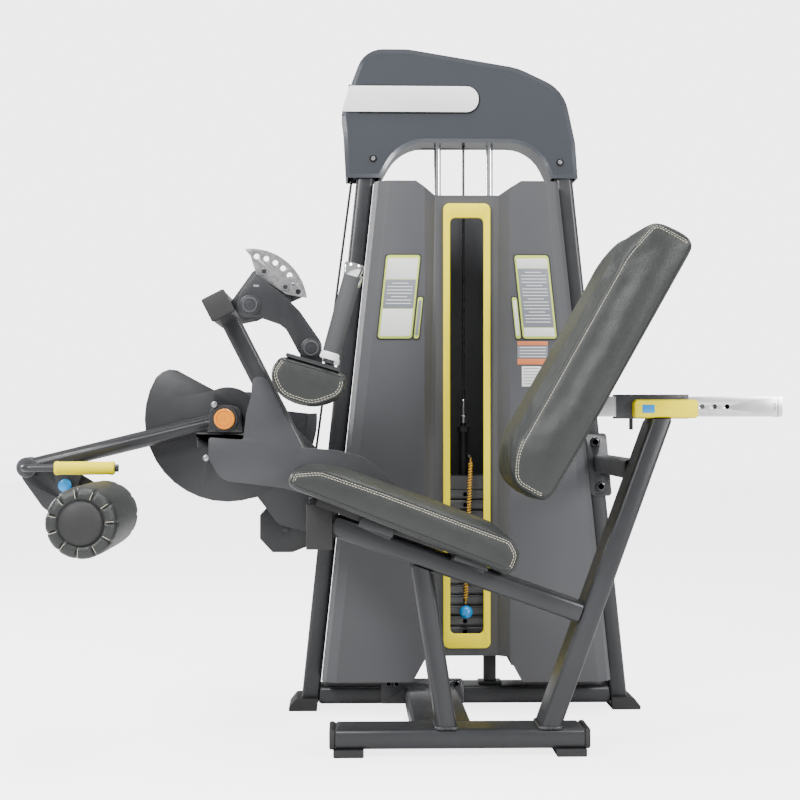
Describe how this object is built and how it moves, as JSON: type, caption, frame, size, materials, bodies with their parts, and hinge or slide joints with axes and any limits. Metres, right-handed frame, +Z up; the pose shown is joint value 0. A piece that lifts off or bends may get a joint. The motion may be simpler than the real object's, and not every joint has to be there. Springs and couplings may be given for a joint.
{
  "type": "seated leg curl machine",
  "caption": "Seated leg curl gym machine: covered weight stack tower, tilted seat, sliding backrest, thigh hold-down pad and ankle roller on a swinging arm with cam and cable.",
  "frame": {"origin": "centre of the machine's overall box at floor level", "axes": "+X from the ankle roller to the backrest slide tube, +Y from the user's side to the back of the weight tower, +Z up"},
  "size_m": [1.5606, 0.848, 1.503],
  "materials": {
    "frame_steel": "satin powder coat",
    "cover_plastic": "satin moulded",
    "shroud_plastic": "metallic satin",
    "silver_trim": "silver",
    "yellow_plastic": "gloss",
    "blue_plastic": "gloss",
    "black_rubber": "matt",
    "upholstery": "grained vinyl",
    "chrome_steel": "polished",
    "zinc_bolts": "zinc plated",
    "stack_steel": "satin black",
    "cable_jacket": "smooth jacket",
    "cord_yellow": "smooth jacket"
  },
  "bodies": {
    "frame": {"base_bar": "frame_steel", "front_post": "frame_steel", "rear_post": "frame_steel", "seat_beam": "frame_steel", "cross_tube": "frame_steel", "lower_tie_beam": "frame_steel", "upper_tie_tube": "frame_steel", "frame_bolts": "zinc_bolts", "end_caps": "black_rubber", "rubber_feet": "black_rubber", "tower_leg_left": "frame_steel", "tower_leg_right": "frame_steel", "tower_base_beam": "frame_steel", "tower_top_beam": "frame_steel", "stack_posts": "frame_steel", "guide_rods": "chrome_steel", "stack_bumpers": "black_rubber", "resting_plates": "stack_steel", "front_cover": "cover_plastic", "rear_cover": "cover_plastic", "window_frame": "yellow_plastic", "front_shroud": "shroud_plastic", "rear_shroud": "shroud_plastic", "shroud_stripe": "silver_trim", "mechanism_post": "frame_steel", "thigh_bracket": "frame_steel", "sector_plate": "chrome_steel", "near_guard": "frame_steel", "bearings": "frame_steel", "far_support_plate": "frame_steel", "pulley_brackets": "frame_steel", "lifting_cable": "cable_jacket", "adjuster_housing": "frame_steel", "seat_pad": "upholstery"},
    "stack": {"selector_stem": "stack_steel", "selected_plates": "stack_steel", "stack_cable": "cable_jacket", "lanyard": "cord_yellow"},
    "selector": {"selector_pin": "blue_plastic"},
    "arm": {"pivot_shaft": "chrome_steel", "arm_tube": "frame_steel", "arm_disc": "frame_steel", "cam": "frame_steel", "cam_cable": "cable_jacket"},
    "ankle": {"ankle_link": "frame_steel", "ankle_grip": "yellow_plastic"},
    "roller": {"ankle_roller": "upholstery"},
    "ankle_plunger": {"ankle_pin": "blue_plastic"},
    "lever": {"lever_plates": "frame_steel"},
    "lever_plunger": {"thigh_pin": "blue_plastic"},
    "thigh_rest": {"pad_bracket": "frame_steel", "thigh_pad": "upholstery", "handle_grips": "black_rubber"},
    "backrest": {"slide_tube": "chrome_steel", "back_bracket": "frame_steel", "back_pad": "upholstery"},
    "release": {"release_handle": "yellow_plastic"},
    "pulley_centre": {"centre_pulley": "frame_steel"},
    "pulley_left": {"left_pulley": "frame_steel"},
    "pulley_lower": {"lower_pulley": "frame_steel"}
  },
  "joints": [
    {"name": "stack_lift", "type": "slide", "parent": "frame", "child": "stack", "axis": [0, 0, 1], "range_m": [0, 0.204], "deforming": ["stack_cable"]},
    {"name": "arm_swing", "type": "hinge", "parent": "frame", "child": "arm", "pos_m": [-0.34075, -0.011, 0.662], "axis": [0, -1, 0], "range_deg": [0, 65]},
    {"name": "centre_pulley_turn", "type": "hinge", "parent": "frame", "child": "pulley_centre", "pos_m": [0.13725, 0.294, 1.4], "axis": [0, -1, 0], "range_deg": [0, 260]},
    {"name": "left_pulley_turn", "type": "hinge", "parent": "frame", "child": "pulley_left", "pos_m": [-0.00575, 0.294, 1.4], "axis": [0, -1, 0], "range_deg": [0, 260]},
    {"name": "lower_pulley_turn", "type": "hinge", "parent": "frame", "child": "pulley_lower", "pos_m": [-0.22575, 0.294, 0.411], "axis": [0, 1, 0], "range_deg": [0, 260]},
    {"name": "selector_pull", "type": "slide", "parent": "stack", "child": "selector", "axis": [0, -1, 0], "range_m": [0, 0.06]},
    {"name": "ankle_tilt", "type": "hinge", "parent": "arm", "child": "ankle", "pos_m": [-0.75875, -0.011, 0.56], "axis": [0, -1, 0], "range_deg": [-20, 25]},
    {"name": "roller_spin", "type": "hinge", "parent": "ankle", "child": "roller", "pos_m": [-0.58875, -0.242, 0.466], "axis": [0, 1, 0], "continuous": true},
    {"name": "ankle_pin_pull", "type": "slide", "parent": "arm", "child": "ankle_plunger", "axis": [0, -1, 0], "range_m": [0, 0.01], "stiffness_N_per_m": 800},
    {"name": "thigh_lever", "type": "hinge", "parent": "frame", "child": "lever", "pos_m": [-0.27775, -0.251, 0.887], "axis": [0, -1, 0], "range_deg": [-10, 55]},
    {"name": "thigh_pin_pull", "type": "slide", "parent": "lever", "child": "lever_plunger", "axis": [0, 1, 0], "range_m": [0, 0.01], "stiffness_N_per_m": 800},
    {"name": "thigh_pad_tilt", "type": "hinge", "parent": "lever", "child": "thigh_rest", "pos_m": [-0.15775, -0.251, 0.8015], "axis": [0, -1, 0], "range_deg": [-15, 15]},
    {"name": "backrest_slide", "type": "slide", "parent": "frame", "child": "backrest", "axis": [-1, 0, 0], "range_m": [0, 0.125]},
    {"name": "release_pull", "type": "slide", "parent": "frame", "child": "release", "axis": [0, -1, 0], "range_m": [0, 0.012], "stiffness_N_per_m": 1000}
  ],
  "couplings": [
    {"joint": "arm_swing", "follows": "stack_lift", "rad_per_m": 5.5556},
    {"joint": "centre_pulley_turn", "follows": "stack_lift", "rad_per_m": 22.222},
    {"joint": "left_pulley_turn", "follows": "stack_lift", "rad_per_m": 22.222},
    {"joint": "lower_pulley_turn", "follows": "stack_lift", "rad_per_m": 22.222}
  ]
}
